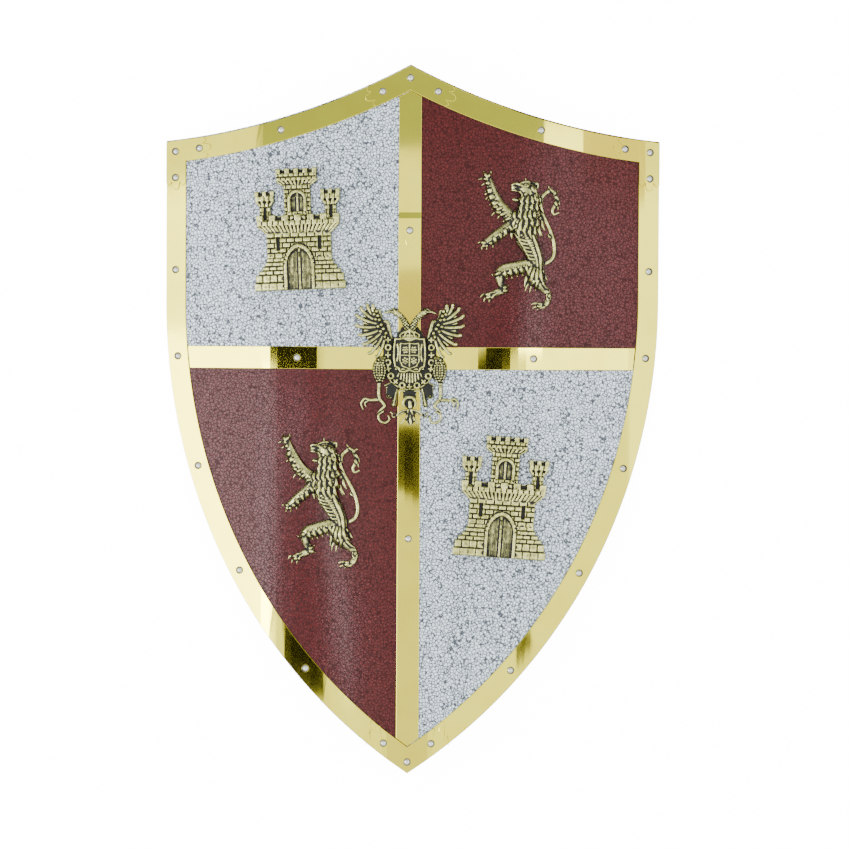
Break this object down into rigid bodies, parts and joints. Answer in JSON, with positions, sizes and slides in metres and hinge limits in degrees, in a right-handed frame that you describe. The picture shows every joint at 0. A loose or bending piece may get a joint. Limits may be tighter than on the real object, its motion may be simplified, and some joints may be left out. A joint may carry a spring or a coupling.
{
  "type": "decorative shield",
  "caption": "Bowed heater shield with crackle-painted quarters, riveted brass border and cross, and cast castles, lions and a double-headed eagle.",
  "frame": {"origin": "middle of the box's underside, on the surface that the shield lies on", "axes": "+Z out of the painted face, +Y from the tip to the top edge, +X to the right seen from the front"},
  "size_m": [0.4934, 0.7, 0.0576],
  "materials": {
    "paint": "glossy crackle paint in white and dark red quarters, plain grey at the back",
    "brass_strip": "mirror polished",
    "nickel": "polished nickel",
    "cast_brass": "antiqued casting, bright on the high parts and black in the hollows"
  },
  "bodies": {
    "root": {"sheet": "paint", "top_border_left": "brass_strip", "top_border_right": "brass_strip", "side_border_left": "brass_strip", "side_border_right": "brass_strip", "corner_plate_left": "brass_strip", "corner_plate_right": "brass_strip", "apex_plate": "brass_strip", "tip_plate": "brass_strip", "crossbar": "brass_strip", "apex_strip": "brass_strip", "upper_strip": "brass_strip", "lower_strip": "brass_strip", "rivet_01": "nickel", "rivet_02": "nickel", "rivet_03": "nickel", "rivet_04": "nickel", "rivet_05": "nickel", "rivet_06": "nickel", "rivet_07": "nickel", "rivet_08": "nickel", "rivet_09": "nickel", "rivet_10": "nickel", "rivet_11": "nickel", "rivet_12": "nickel", "rivet_13": "nickel", "rivet_14": "nickel", "rivet_15": "nickel", "rivet_16": "nickel", "rivet_17": "nickel", "rivet_18": "nickel", "rivet_19": "nickel", "rivet_20": "nickel", "rivet_21": "nickel", "rivet_22": "nickel", "rivet_23": "nickel", "rivet_24": "nickel", "rivet_25": "nickel", "rivet_26": "nickel", "rivet_27": "nickel", "rivet_28": "nickel", "castle_upper": "cast_brass", "castle_lower": "cast_brass", "lion_upper": "cast_brass", "lion_lower": "cast_brass", "eagle": "cast_brass"}
  },
  "joints": []
}
